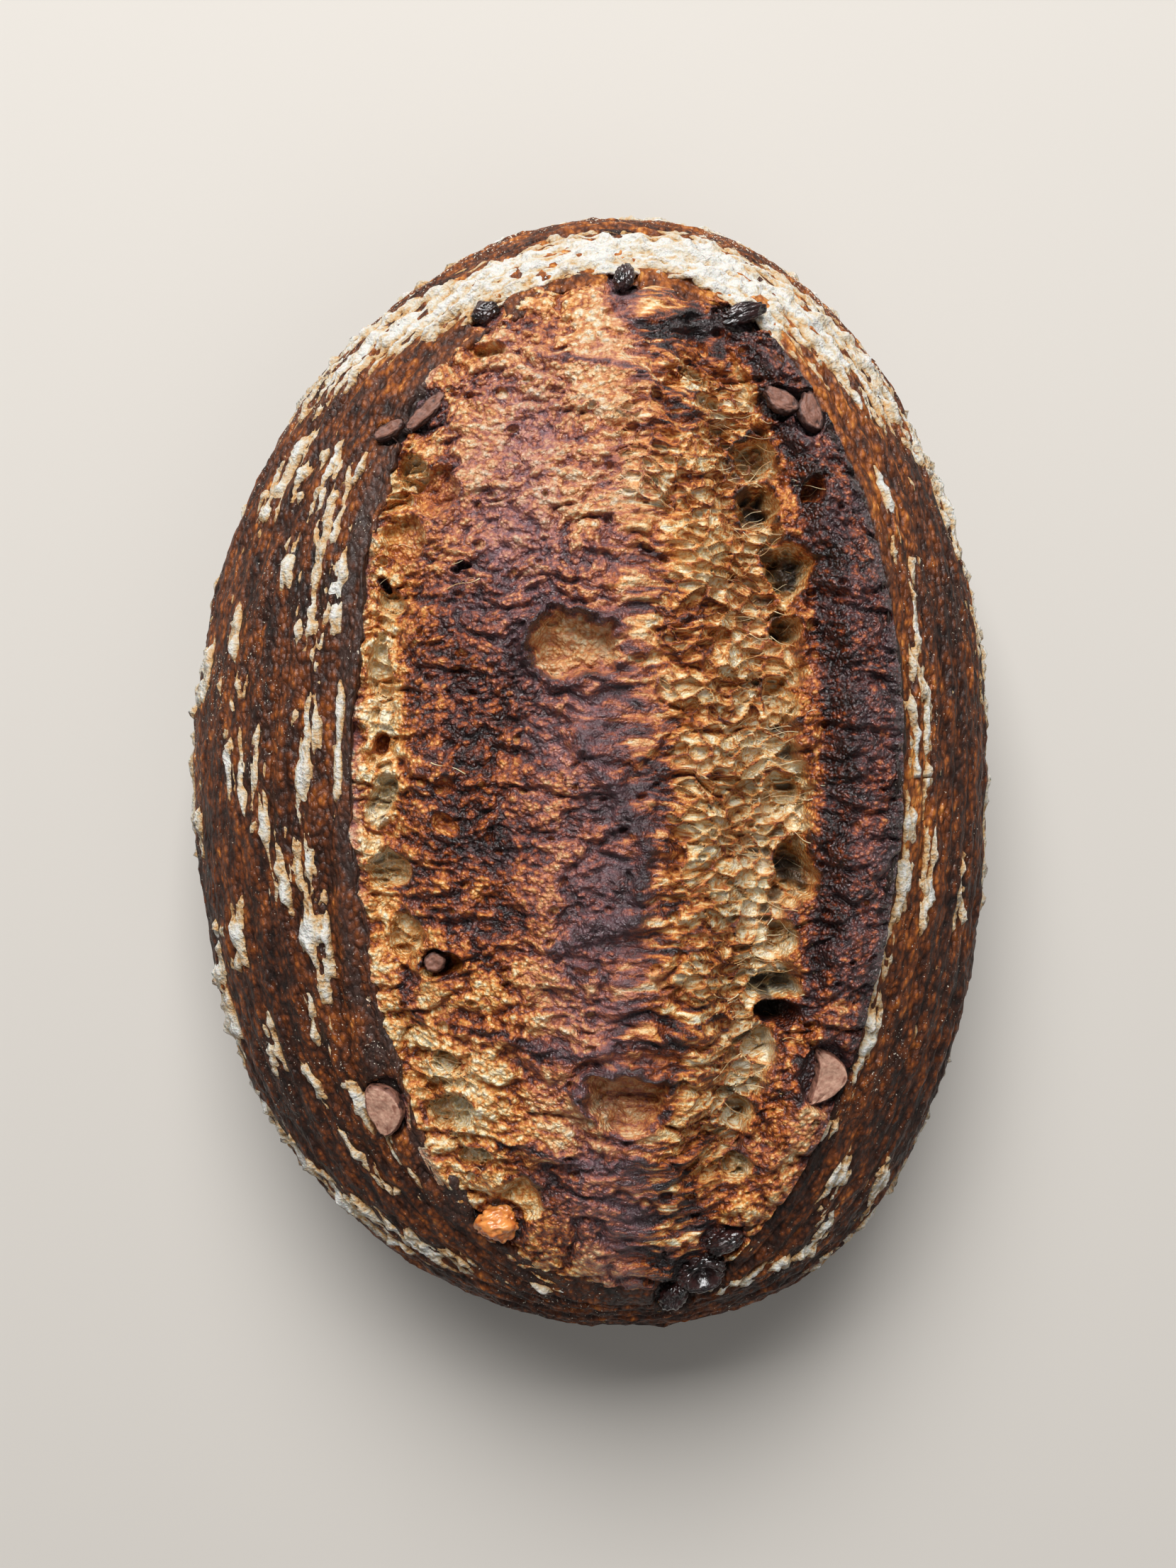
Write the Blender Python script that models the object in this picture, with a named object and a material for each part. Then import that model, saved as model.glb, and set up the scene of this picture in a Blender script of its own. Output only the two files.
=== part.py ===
"""Whole nut-and-raisin sourdough loaf: a long oval hearth loaf with one deep score down its top.

Metres, +Z up. The length runs along Y, and the loaf stands on its flat base at z = 0 with the origin
in the middle of that base. The crust, the open score and its ear are one solid. Each nut and raisin
that shows at the surface is a solid of its own, seated in a socket with a thin gap round it.
"""

import math

import bmesh
import bpy
from mathutils import Matrix, Vector, noise

# The loaf's oval, seen from above: reaches are +X, +Y, -X, -Y, and fullness is a superellipse's
# exponent in each quarter (far right, far left, near left, near right).
LOAF_REACH = (0.0898, 0.125, 0.0898, 0.125)
LOAF_FULLNESS = (2.05, 1.98, 2.22, 2.25)
FAR_LEAN = 0.0055
NEAR_LEAN = 0.0075

# Its height: a flat base, a rounded foot up to the waist, and a dome above it.
BASE_SHARE = 0.74
WAIST_HEIGHT = 0.036
CROWN_HEIGHT = 0.090
DOME_FULLNESS = 2.4

# Ridges left round the crust by the proving basket's coils.
RIDGES = 8
RIDGE_DEPTH = 0.0004

# The score: an oval on the crown that the oven spread open, with a burnt ear along its +X lip.
SCORE_CENTRE = (0.008, -0.002)
SCORE_REACH = (0.0545, 0.106, 0.0575, 0.112)
SCORE_FULLNESS = (2.1, 2.55, 2.15, 1.8)
SCORE_LEAN = 0.3
LIP_RISE = 0.0008
EAR_RISE = 0.0050
EAR_SWELL = 0.0022
EAR_MIDDLE = math.radians(12)
EAR_SPAN = math.radians(62)

# What rose in the score, as (place across from -1 to 1, half width, height over the dome).
BLOOM_WAVES = (
    (-0.02, 0.45, 0.0052),
    (-0.87, 0.12, -0.0032),
    (0.53, 0.16, -0.0100),
)
FOLD_HEIGHT = 0.0013
FOLD_PITCH = (0.024, 0.009)

# Burst bubbles in the score: (x, y, radius across, radius along, depth).
POCKETS = (
    (-0.0030, 0.0230, 0.0068, 0.0072, 0.0035),
    (0.0070, -0.0660, 0.0082, 0.0058, 0.0032),
    (-0.0335, 0.0530, 0.0050, 0.0072, 0.0035),
    (-0.0405, -0.0200, 0.0048, 0.0056, 0.0040),
    (0.0420, -0.0212, 0.0056, 0.0064, 0.0028),
    (0.0372, -0.0515, 0.0050, 0.0050, 0.0026),
    (0.0330, 0.0590, 0.0050, 0.0100, 0.0026),
    (0.0412, 0.0385, 0.0050, 0.0078, 0.0020),
)

SPOKES = 68
FOOT_RINGS = 5
SHOULDER_RINGS = 2 * RIDGES
BLOOM_RINGS = 12
SOCKET_GAP = 0.00035


def signed_power(value, exponent):
    return math.copysign(abs(value) ** exponent, value)


def quarter(x, y):
    """0 to 3: far right, far left, near left, near right."""
    if y >= 0:
        return 0 if x >= 0 else 1
    return 2 if x < 0 else 3


def oval(angle, reach, fullness):
    """The point at this angle of an oval with four reaches and four kinds of quarter."""
    x, y = math.cos(angle), math.sin(angle)
    exponent = 2 / fullness[quarter(x, y)]
    along_x = reach[0] if x >= 0 else reach[2]
    along_y = reach[1] if y >= 0 else reach[3]
    return along_x * signed_power(x, exponent), along_y * signed_power(y, exponent)


def lean(y):
    """How far the loaf's middle line has moved to +X at this y."""
    far = max(0.0, y / LOAF_REACH[1])
    near = max(0.0, -y / LOAF_REACH[3])
    return FAR_LEAN * far**3 + NEAR_LEAN * near**3


def loaf_outline(angle, share=1.0):
    x, y = oval(angle, LOAF_REACH, LOAF_FULLNESS)
    return x * share + lean(y * share), y * share


def score_outline(angle, share=1.0):
    x, y = oval(angle, SCORE_REACH, SCORE_FULLNESS)
    y = SCORE_CENTRE[1] + y * share
    return SCORE_CENTRE[0] + x * share + SCORE_LEAN * lean(y), y


def dome(x, y):
    """Height of the smooth loaf over (x, y)."""
    x -= lean(y)
    n = LOAF_FULLNESS[quarter(x, y)]
    out = (abs(x / LOAF_REACH[0]) ** n + abs(y / LOAF_REACH[1]) ** n) ** (1 / n)
    rise = math.sqrt(max(0.0, 1 - min(1.0, out) ** DOME_FULLNESS))
    return WAIST_HEIGHT + (CROWN_HEIGHT - WAIST_HEIGHT) * rise


def across_score(x, y):
    """Place over the score: -1 to 1 from its left lip to its right, and -1 to 1 from near to far."""
    x -= SCORE_CENTRE[0] + SCORE_LEAN * lean(y)
    y -= SCORE_CENTRE[1]
    n = SCORE_FULLNESS[quarter(x, y)]
    along = y / (SCORE_REACH[1] if y >= 0 else SCORE_REACH[3])
    half = (SCORE_REACH[0] if x >= 0 else SCORE_REACH[2]) * max(0.0, 1 - abs(along) ** n) ** (1 / n)
    return (max(-1.0, min(1.0, x / half)) if half > 0.001 else 0.0), along


def bloom(x, y):
    """Height of what rose in the score, over (x, y)."""
    across, along = across_score(x, y)
    ends = 1 - min(1.0, abs(along)) ** 3
    height = sum(rise * math.exp(-(((across - at) / width) ** 2)) for at, width, rise in BLOOM_WAVES)
    folds = noise.noise(Vector((x / FOLD_PITCH[0], y / FOLD_PITCH[1], 0.0)))
    height = height * ends + FOLD_HEIGHT * folds
    for at_x, at_y, wide, long, depth in POCKETS:
        out = ((x - at_x) / wide) ** 2 + ((y - at_y) / long) ** 2
        height -= depth * math.exp(-(out**2))
    return dome(x, y) + height


def ear(angle):
    """How far the lip stands up as an ear, from 0 to 1."""
    off = (angle - EAR_MIDDLE + math.pi) % (2 * math.pi) - math.pi
    return 0.5 + 0.5 * math.cos(math.pi * min(1.0, abs(off) / EAR_SPAN))


def foot_ring(share):
    """A ring of the rounded foot, from the base's edge at share 0 to the waist at share 1."""
    turn = share * math.pi / 2
    size = BASE_SHARE + (1 - BASE_SHARE) * math.sin(turn)
    height = WAIST_HEIGHT * (1 - math.cos(turn))
    return lambda angle: (*loaf_outline(angle, size), height)


def shoulder_ring(share, ridge):
    """A ring of the crust between the waist and the score's lip, pushed out or in by its ridge."""
    inward = 1 - math.cos(share * math.pi / 2)

    def place(angle):
        outer = Vector(loaf_outline(angle))
        inner = Vector(score_outline(angle))
        spot = outer.lerp(inner, inward)
        height = dome(*spot) + EAR_SWELL * ear(angle) * inward**4
        spot += spot.normalized() * ridge * (1 - inward)
        return spot.x, spot.y, height + ridge * inward

    return place


def lip_ring(share, rise_share):
    """A ring of the lip: the ear's foot, its crest and the top of its inner face."""

    def place(angle):
        x, y = score_outline(angle, share)
        rise = LIP_RISE + EAR_SWELL * ear(angle) + EAR_RISE * ear(angle) * rise_share
        return x, y, dome(x, y) + rise

    return place


def bloom_ring(share):
    def place(angle):
        x, y = score_outline(angle, share)
        return x, y, bloom(x, y)

    return place


def loaf_rings():
    """Every ring of the loaf, from the base's edge up to the innermost ring of the score."""
    rings = [foot_ring(i / FOOT_RINGS) for i in range(FOOT_RINGS)]
    for i in range(SHOULDER_RINGS):
        ridge = RIDGE_DEPTH if i % 2 else -RIDGE_DEPTH
        rings.append(shoulder_ring(i / SHOULDER_RINGS, ridge))
    rings += [lip_ring(1.0, 0.25), lip_ring(0.985, 1.0), lip_ring(0.955, 0.7)]
    for i in range(BLOOM_RINGS):
        rings.append(bloom_ring(0.915 * (1 - i / BLOOM_RINGS)))
    return rings


def finish(name, colour, roughness):
    """A plain food finish; nothing on the loaf is metal."""
    material = bpy.data.materials.new(name)
    material.use_nodes = True
    shader = material.node_tree.nodes["Principled BSDF"]
    shader.inputs["Base Color"].default_value = (*colour, 1.0)
    shader.inputs["Roughness"].default_value = roughness
    shader.inputs["Metallic"].default_value = 0.0
    material.diffuse_color = (*colour, 1.0)
    return material


def add_object(name, shape, material, placement):
    mesh = bpy.data.meshes.new(name)
    shape.to_mesh(mesh)
    shape.free()
    mesh.shade_smooth()
    mesh.materials.append(material)
    thing = bpy.data.objects.new(name, mesh)
    thing.matrix_world = placement
    bpy.context.scene.collection.objects.link(thing)
    return thing


def add_ring(shape, ring):
    verts = [shape.verts.new(ring(2 * math.pi * i / SPOKES)) for i in range(SPOKES)]
    return [shape.edges.new((verts[i - 1], verts[i])) for i in range(SPOKES)]


def make_loaf(material):
    """The loaf, lofted ring by ring from the base's edge to the middle of the score."""
    shape = bmesh.new()
    loops = [add_ring(shape, ring) for ring in loaf_rings()]
    for below, above in zip(loops, loops[1:]):
        bmesh.ops.bridge_loops(shape, edges=below + above)
    for end in (loops[0], loops[-1]):
        bmesh.ops.contextual_create(shape, geom=end)
    bmesh.ops.recalc_face_normals(shape, faces=shape.faces)
    return add_object("loaf", shape, material, Matrix())


def seat(x, y, lift, turn):
    """Where a nut or raisin sits: on the surface, square to the dome, turned about its own upright."""
    step = 0.002
    slope_x = (dome(x + step, y) - dome(x - step, y)) / (2 * step)
    slope_y = (dome(x, y + step) - dome(x, y - step)) / (2 * step)
    upright = Vector((-slope_x, -slope_y, 1.0)).normalized()
    in_score = abs(across_score(x, y)[0]) < 1 and abs(across_score(x, y)[1]) < 1
    height = bloom(x, y) if in_score else dome(x, y)
    tilt = Vector((0.0, 0.0, 1.0)).rotation_difference(upright).to_matrix().to_4x4()
    place = Vector((x, y, height)) + upright * lift
    return Matrix.Translation(place) @ tilt @ Matrix.Rotation(math.radians(turn), 4, "Z")


def nut_shape(length, width, depth, curl, grown=0.0):
    """A broken nut: a bean bent by its curl, with the flat face of the break on top."""
    shape = bmesh.new()
    bmesh.ops.create_uvsphere(shape, u_segments=12, v_segments=8, radius=1.0)
    for vert in shape.verts:
        x, y, z = vert.co
        chip = 1 + 0.10 * noise.noise(Vector((x, y, z)) * 1.7 + Vector((length, width, depth)) * 900)
        flat = min(z, 0.5) + 0.15 * max(0.0, z - 0.5)
        bent = y * (1 - 0.25 * x * x) + curl * (x * x - 0.35)
        vert.co = Vector((x * length * chip, bent * width * chip, flat * depth * chip)) / 2
    return grown_by(shape, grown)


def raisin_shape(length, width, depth, hollow, grown=0.0):
    """A raisin: an egg drawn in by wrinkles that run along it, hollow on top where it burst.

    One that is grown makes a socket, so it stays whole on top.
    """
    shape = bmesh.new()
    depth_of_mouth = 0.0 if grown else hollow
    bmesh.ops.create_uvsphere(shape, u_segments=13, v_segments=8, radius=1.0)
    for vert in shape.verts:
        x, y, z = vert.co
        crease = abs(noise.noise(Vector((x * 0.9 + length * 700, y * 2.4, z * 2.4))))
        size = 0.90 + 0.35 * min(0.4, crease)
        mouth = depth_of_mouth * math.exp(-(((x * x + y * y) / 0.30) ** 2)) if z > 0 else 0.0
        vert.co = Vector((x * length * size, y * width * size, (z * size - mouth) * depth)) / 2
    return grown_by(shape, grown)


def grown_by(shape, distance):
    """The same shape with its surface moved outwards."""
    shape.normal_update()
    moves = [(vert, vert.normal * distance) for vert in shape.verts]
    for vert, move in moves:
        vert.co += move
    bmesh.ops.recalc_face_normals(shape, faces=shape.faces)
    return shape


def sink(loaf, name, make, sizes, placement, material):
    """Adds a nut or raisin and cuts its socket, a little larger than itself, in the loaf."""
    add_object(name, make(*sizes), material, placement)
    cutter = add_object(name + "_cutter", make(*sizes, SOCKET_GAP), material, placement)
    cutter.hide_render = True
    cutter.display_type = "WIRE"
    socket = loaf.modifiers.new("socket_" + name, "BOOLEAN")
    socket.operation = "DIFFERENCE"
    socket.solver = "EXACT"
    socket.object = cutter


# Nuts: name, x, y, lift over the surface, turn in degrees, (length, width, depth, curl).
NUTS = (
    ("nut_right", 0.0470, -0.0621, -0.0005, 100, (0.0115, 0.0078, 0.0062, 0.45)),
    ("nut_left", -0.0427, -0.0694, -0.0008, 108, (0.0108, 0.0074, 0.0060, 0.40)),
    ("nut_ear_long", 0.0379, 0.0745, 0.0016, -30, (0.0076, 0.0042, 0.0046, 0.20)),
    ("nut_ear_curl", 0.0440, 0.0722, 0.0016, -75, (0.0080, 0.0042, 0.0046, 0.30)),
    ("nut_far_long", -0.0336, 0.0731, 0.0000, 45, (0.0096, 0.0032, 0.0040, 0.15)),
    ("nut_far_short", -0.0412, 0.0693, 0.0000, 10, (0.0056, 0.0032, 0.0036, 0.10)),
    ("nut_in_pocket", -0.0310, -0.0383, -0.0002, 30, (0.0040, 0.0034, 0.0032, 0.10)),
)

# Raisins: name, x, y, lift over the surface, turn in degrees, (length, width, depth, hollow).
RAISINS = (
    ("raisin_horn", 0.0309, 0.0935, 0.0016, 22, (0.0110, 0.0044, 0.0042, 0.0)),
    ("raisin_far", 0.0069, 0.1018, 0.0004, 80, (0.0066, 0.0046, 0.0040, 0.0)),
    ("raisin_far_left", -0.0218, 0.0949, 0.0004, 25, (0.0060, 0.0048, 0.0040, 0.0)),
    ("raisin_burst", 0.0234, -0.1054, 0.0004, 20, (0.0104, 0.0086, 0.0072, 0.75)),
    ("raisin_burst_near", 0.0178, -0.1124, -0.0002, 60, (0.0068, 0.0062, 0.0056, 0.30)),
    ("raisin_burst_far", 0.0272, -0.0984, 0.0002, 25, (0.0080, 0.0052, 0.0052, 0.0)),
    ("raisin_golden", -0.0189, -0.0931, 0.0010, 15, (0.0090, 0.0080, 0.0066, 0.0)),
)


def clear_scene():
    for thing in list(bpy.data.objects):
        bpy.data.objects.remove(thing, do_unlink=True)


def build():
    clear_scene()
    crust = finish("baked_crust", (0.13, 0.045, 0.018), 0.55)
    nut = finish("toasted_nut", (0.30, 0.17, 0.12), 0.70)
    raisin = finish("dark_raisin", (0.020, 0.010, 0.012), 0.30)
    golden = finish("golden_raisin", (0.55, 0.22, 0.05), 0.35)
    loaf = make_loaf(crust)
    for name, x, y, lift, turn, sizes in NUTS:
        sink(loaf, name, nut_shape, sizes, seat(x, y, lift, turn), nut)
    for name, x, y, lift, turn, sizes in RAISINS:
        material = golden if name == "raisin_golden" else raisin
        sink(loaf, name, raisin_shape, sizes, seat(x, y, lift, turn), material)


build()
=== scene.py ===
import math
from itertools import product

import bmesh
import bpy
import numpy as np
from mathutils import Matrix, Vector


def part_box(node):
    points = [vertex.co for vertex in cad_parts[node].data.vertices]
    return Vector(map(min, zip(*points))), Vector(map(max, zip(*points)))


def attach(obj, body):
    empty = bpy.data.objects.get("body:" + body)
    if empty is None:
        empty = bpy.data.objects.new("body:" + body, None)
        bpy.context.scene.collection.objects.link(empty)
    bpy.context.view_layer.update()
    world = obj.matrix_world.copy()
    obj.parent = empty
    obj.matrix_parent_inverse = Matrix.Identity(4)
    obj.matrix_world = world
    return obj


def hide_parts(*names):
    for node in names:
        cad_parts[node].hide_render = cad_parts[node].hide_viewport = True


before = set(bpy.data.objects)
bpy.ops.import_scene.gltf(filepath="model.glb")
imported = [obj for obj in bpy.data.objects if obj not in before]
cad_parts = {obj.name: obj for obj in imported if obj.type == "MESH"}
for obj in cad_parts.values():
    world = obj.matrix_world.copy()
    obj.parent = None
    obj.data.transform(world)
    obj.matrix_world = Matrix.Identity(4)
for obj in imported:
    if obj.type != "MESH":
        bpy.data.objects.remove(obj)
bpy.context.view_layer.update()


# -----------------------------------------------------------------------------------------------
# The crust. A long oval of dough, proved in a coiled basket and baked on a hot stone, so it has a
# flat underside, a rounded foot and coil ridges round its shoulder. Fermentation blisters cover it.
# It is one closed shell that runs in under the open score.
# -----------------------------------------------------------------------------------------------
loaf_low, loaf_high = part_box("loaf")
RIDGE_ALLOWANCE = 0.0004
LOAF_REACH = (
    (loaf_high.x - loaf_low.x) / 2 - RIDGE_ALLOWANCE,
    (loaf_high.y - loaf_low.y) / 2 - RIDGE_ALLOWANCE,
)
LOAF_FULLNESS = (2.05, 1.98, 2.22, 2.25)
BASE_SHARE = 0.74
WAIST_HEIGHT = 0.036
CROWN_HEIGHT = 0.090
DOME_FULLNESS = 2.4

SCORE_CENTRE = (0.008, -0.002)
SCORE_REACH = (0.0545, 0.106, 0.0575, 0.112)
SCORE_FULLNESS = (2.1, 2.55, 2.15, 1.8)
SCORE_LEAN = 0.3

EAR_AT = math.radians(12)
EAR_SPREAD = math.radians(62)
EAR_SWELL = 0.0022


def smooth(low, high, value):
    """0 below low, 1 above high, and a soft step between."""
    share = np.clip((value - low) / (high - low), 0, 1)
    return share * share * (3 - 2 * share)


def signed_power(value, exponent):
    return np.sign(value) * np.abs(value) ** exponent


def by_quarter(x, y, choices):
    """Picks one of (far right, far left, near left, near right) by where (x, y) lies."""
    far_right, far_left, near_left, near_right = choices
    far = np.where(x >= 0, far_right, far_left)
    return np.where(y >= 0, far, np.where(x < 0, near_left, near_right))


def lean(y):
    """How far the loaf's middle line has moved to +X at this y."""
    return 0.0055 * np.maximum(0, y / 0.125) ** 3 + 0.0075 * np.maximum(0, -y / 0.125) ** 3


def loaf_outline(angle, share=1.0):
    c, s = np.cos(angle), np.sin(angle)
    power = 2 / by_quarter(c, s, LOAF_FULLNESS)
    x = LOAF_REACH[0] * signed_power(c, power) * share
    y = LOAF_REACH[1] * signed_power(s, power) * share
    return x + lean(y), y


def score_outline(angle, share=1.0):
    c, s = np.cos(angle), np.sin(angle)
    power = 2 / by_quarter(c, s, SCORE_FULLNESS)
    x = np.where(c >= 0, SCORE_REACH[0], SCORE_REACH[2]) * signed_power(c, power) * share
    y = np.where(s >= 0, SCORE_REACH[1], SCORE_REACH[3]) * signed_power(s, power) * share
    y = y + SCORE_CENTRE[1]
    return SCORE_CENTRE[0] + x + SCORE_LEAN * lean(y), y


def dome(x, y):
    """Height of the smooth loaf over (x, y)."""
    x = x - lean(y)
    n = by_quarter(x, y, LOAF_FULLNESS)
    out = (np.abs(x / LOAF_REACH[0]) ** n + np.abs(y / LOAF_REACH[1]) ** n) ** (1 / n)
    rise = np.sqrt(np.maximum(0, 1 - np.minimum(1, out) ** DOME_FULLNESS))
    return WAIST_HEIGHT + (CROWN_HEIGHT - WAIST_HEIGHT) * rise


def ear(angle):
    """How far the score's lip stands up as an ear at this angle, from 0 to 1."""
    off = np.abs((angle - EAR_AT + np.pi) % (2 * np.pi) - np.pi)
    return 0.5 + 0.5 * np.cos(np.pi * np.minimum(1, off / EAR_SPREAD))


def fixed_number(ix, iy, iz, seed):
    """A number from 0 to 1 that never changes for one whole-numbered place."""
    h = (ix * 374761393 + iy * 668265263 + iz * 982451653 + seed * 1274126177) & 0xFFFFFFFF
    h = ((h ^ (h >> 13)) * 1274126177) & 0xFFFFFFFF
    h = ((h ^ (h >> 15)) * 668265263) & 0xFFFFFFFF
    return ((h ^ (h >> 16)) & 0xFFFF) / 65535.0


def lumps(points, pitch, seed=0):
    """Smooth bumps and hollows from -1 to 1, about a pitch apart."""
    place = points / np.asarray(pitch)
    cell = np.floor(place).astype(np.int64)
    part = place - cell
    part = part * part * (3 - 2 * part)
    total = np.zeros(len(points))
    for corner in product((0, 1), repeat=3):
        weight = np.ones(len(points))
        for axis in range(3):
            weight = weight * (part[:, axis] if corner[axis] else 1 - part[:, axis])
        total += weight * fixed_number(*(cell + corner).T, seed)
    return 2 * total - 1


def rough(points, pitch, octaves, seed=0):
    """Bumps with finer bumps on them."""
    pitch = np.asarray(pitch)
    total = sum(0.5**i * lumps(points, pitch / 2.03**i, seed + 17 * i) for i in range(octaves))
    return total / 1.6


def beads(points, pitch, seed=0):
    """Cells packed together: distance to the nearest middle, gap to the next one, and a number for each."""
    place = points / np.asarray(pitch)
    cell = np.floor(place).astype(np.int64)
    near = np.full(len(points), 9.0)
    second = near.copy()
    own = np.zeros(len(points))
    layers = (-1, 0, 1) if np.ptp(points[:, 2]) > 0 else (0,)
    for step in product((-1, 0, 1), (-1, 0, 1), layers):
        at = (cell + step).T
        away = np.zeros(len(points))
        for axis in range(3 if len(layers) > 1 else 2):
            away += (at[axis] + fixed_number(*at, seed + axis) - place[:, axis]) ** 2
        away = np.sqrt(away)
        closer = away < near
        second = np.where(closer, near, np.minimum(second, away))
        own = np.where(closer, fixed_number(*at, seed + 9), own)
        near = np.where(closer, away, near)
    return near, second - near, own


def corners_of(mesh):
    places = np.empty(len(mesh.vertices) * 3, np.float32)
    mesh.vertices.foreach_get("co", places)
    return places.reshape(-1, 3).astype(float)


def move_corners(mesh, places):
    mesh.vertices.foreach_set("co", np.asarray(places, np.float32).ravel())
    mesh.update()


def outward(mesh):
    """The mesh's own outward direction at each corner."""
    ways = np.empty(len(mesh.vertices) * 3, np.float32)
    mesh.vertex_normals.foreach_get("vector", ways)
    return ways.reshape(-1, 3).astype(float)


def note(mesh, name, values):
    """Keeps one number at each corner for the material to read."""
    values = np.broadcast_to(values, len(mesh.vertices)).astype(np.float32)
    mesh.attributes.new(name, "FLOAT", "POINT").data.foreach_set("value", values)


def settle(name, mesh, material, slot, *stands_for):
    """Puts a finished piece on the loaf's one body."""
    mesh.shade_smooth()
    mesh.materials.append(material)
    piece = bpy.data.objects.new(name, mesh)
    bpy.context.scene.collection.objects.link(piece)
    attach(piece, "root")
    if stands_for:
        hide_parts(*stands_for)
    return piece


def paint(red, green, blue):
    """A screen colour from 0 to 255 as the linear colour that a shader takes."""
    def linear(value):
        value /= 255
        return value / 12.92 if value <= 0.04045 else ((value + 0.055) / 1.055) ** 2.4

    return linear(red), linear(green), linear(blue), 1.0


class Finish:
    """A material under construction: short ways to add the nodes that the loaf's finishes share."""

    def __init__(self, name, roughness, coat=0.0, coat_roughness=0.3, subsurface=0.0, specular=0.5):
        self.material = bpy.data.materials.new(name)
        self.material.use_nodes = True
        self.nodes = self.material.node_tree.nodes
        self.links = self.material.node_tree.links
        self.shader = self.nodes["Principled BSDF"]
        self.shader.inputs["Roughness"].default_value = roughness
        self.shader.inputs["Coat Weight"].default_value = coat
        self.shader.inputs["Coat Roughness"].default_value = coat_roughness
        self.shader.inputs["Specular IOR Level"].default_value = specular
        if subsurface:
            self.shader.inputs["Subsurface Weight"].default_value = subsurface
            self.shader.inputs["Subsurface Scale"].default_value = 0.002
        self.place = self.nodes.new("ShaderNodeTexCoord").outputs["Object"]

    def link(self, source, target):
        if isinstance(source, (int, float, tuple)):
            target.default_value = source
        else:
            self.links.new(source, target)

    def noted(self, name):
        node = self.nodes.new("ShaderNodeAttribute")
        node.attribute_name = name
        return node.outputs["Fac"]

    def stretched(self, x, y, z):
        node = self.nodes.new("ShaderNodeMapping")
        node.inputs["Scale"].default_value = (x, y, z)
        self.link(self.place, node.inputs["Vector"])
        return node.outputs["Vector"]

    def noise(self, size, detail=3.0, place=None):
        """Cloudy noise whose bumps are about this many metres across."""
        node = self.nodes.new("ShaderNodeTexNoise")
        node.inputs["Scale"].default_value = 1 / size
        node.inputs["Detail"].default_value = detail
        self.link(place or self.place, node.inputs["Vector"])
        return node.outputs["Fac"]

    def cells(self, size, fading_at, place=None):
        """Packed round cells of about this many metres, pale in the middle."""
        node = self.nodes.new("ShaderNodeTexVoronoi")
        node.inputs["Scale"].default_value = 1 / size
        self.link(place or self.place, node.inputs["Vector"])
        return self.ramp(node.outputs["Distance"], [(0.0, (1, 1, 1, 1)), (fading_at, (0, 0, 0, 1))])

    def sums(self, kind, first, second, third=None):
        node = self.nodes.new("ShaderNodeMath")
        node.operation = kind
        for socket, value in zip(node.inputs, (first, second, third)):
            if value is not None:
                self.link(value, socket)
        return node.outputs["Value"]

    def ramp(self, value, stops):
        node = self.nodes.new("ShaderNodeValToRGB")
        row = node.color_ramp.elements
        while len(row) < len(stops):
            row.new(0.5)
        for element, (at, colour) in zip(row, stops):
            element.position = at
            element.color = colour
        self.link(value, node.inputs["Fac"])
        return node.outputs["Color"]

    def mix(self, share, first, second):
        node = self.nodes.new("ShaderNodeMix")
        node.data_type = "RGBA"
        self.link(share, node.inputs["Factor"])
        for key, value in (("A", first), ("B", second)):
            socket = [s for s in node.inputs if s.name == key and s.type == "RGBA"][0]
            if isinstance(value, tuple):
                socket.default_value = value
            else:
                self.links.new(value, socket)
        return [s for s in node.outputs if s.type == "RGBA"][0]

    def spread(self, value, low, high):
        """Runs a 0 to 1 value over another range."""
        node = self.nodes.new("ShaderNodeMapRange")
        node.inputs["To Min"].default_value = low
        node.inputs["To Max"].default_value = high
        self.link(value, node.inputs["Value"])
        return node.outputs["Result"]

    def bump(self, height, depth, strength=1.0):
        node = self.nodes.new("ShaderNodeBump")
        node.inputs["Strength"].default_value = strength
        node.inputs["Distance"].default_value = depth
        self.link(height, node.inputs["Height"])
        self.link(node.outputs["Normal"], self.shader.inputs["Normal"])
        self.link(node.outputs["Normal"], self.shader.inputs["Coat Normal"])


SPOKES = 560
FOOT_RINGS = 34
SHOULDER_RINGS = 120
LIP_SHARES = (1.0, 0.994, 0.989, 0.985, 0.981, 0.979, 0.977)
LIP_RISES = (0.25, 0.55, 0.85, 1.0, 0.7, -0.2, -1.6)
LIP_HEIGHT = 0.0003
EAR_LIP_HEIGHT = 0.0030
CRUST_RINGS = FOOT_RINGS + SHOULDER_RINGS + len(LIP_SHARES)
TUCKED_SHARE = 0.90
TUCKED_HEIGHT = 0.045
BLISTER = 0.0026
SOCKET_DEPTH = 0.0022
COILS = 9.0


def torn_edge(angle):
    """How far the ragged lip reaches in over the score, as a share of the score's size."""
    at = np.column_stack([np.cos(angle), 1.9 * np.sin(angle), angle * 0])
    return 0.016 + 0.018 * lumps(at, 0.16, 5) + 0.010 * lumps(at, 0.05, 6) + 0.006 * lumps(at, 0.02, 7)


def shoulder_place(angle, share, height=0.0):
    """A point of the crust between the waist at share 0 and the score's lip at share 1."""
    inward = 1 - np.cos(share * np.pi / 2)
    outer = np.stack(loaf_outline(angle), -1)
    inner = np.stack(score_outline(angle), -1)
    spot = outer + (inner - outer) * inward[:, None]
    swell = EAR_SWELL * ear(angle) * inward**4
    return np.column_stack([spot, dome(spot[:, 0], spot[:, 1]) + swell + height])


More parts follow.
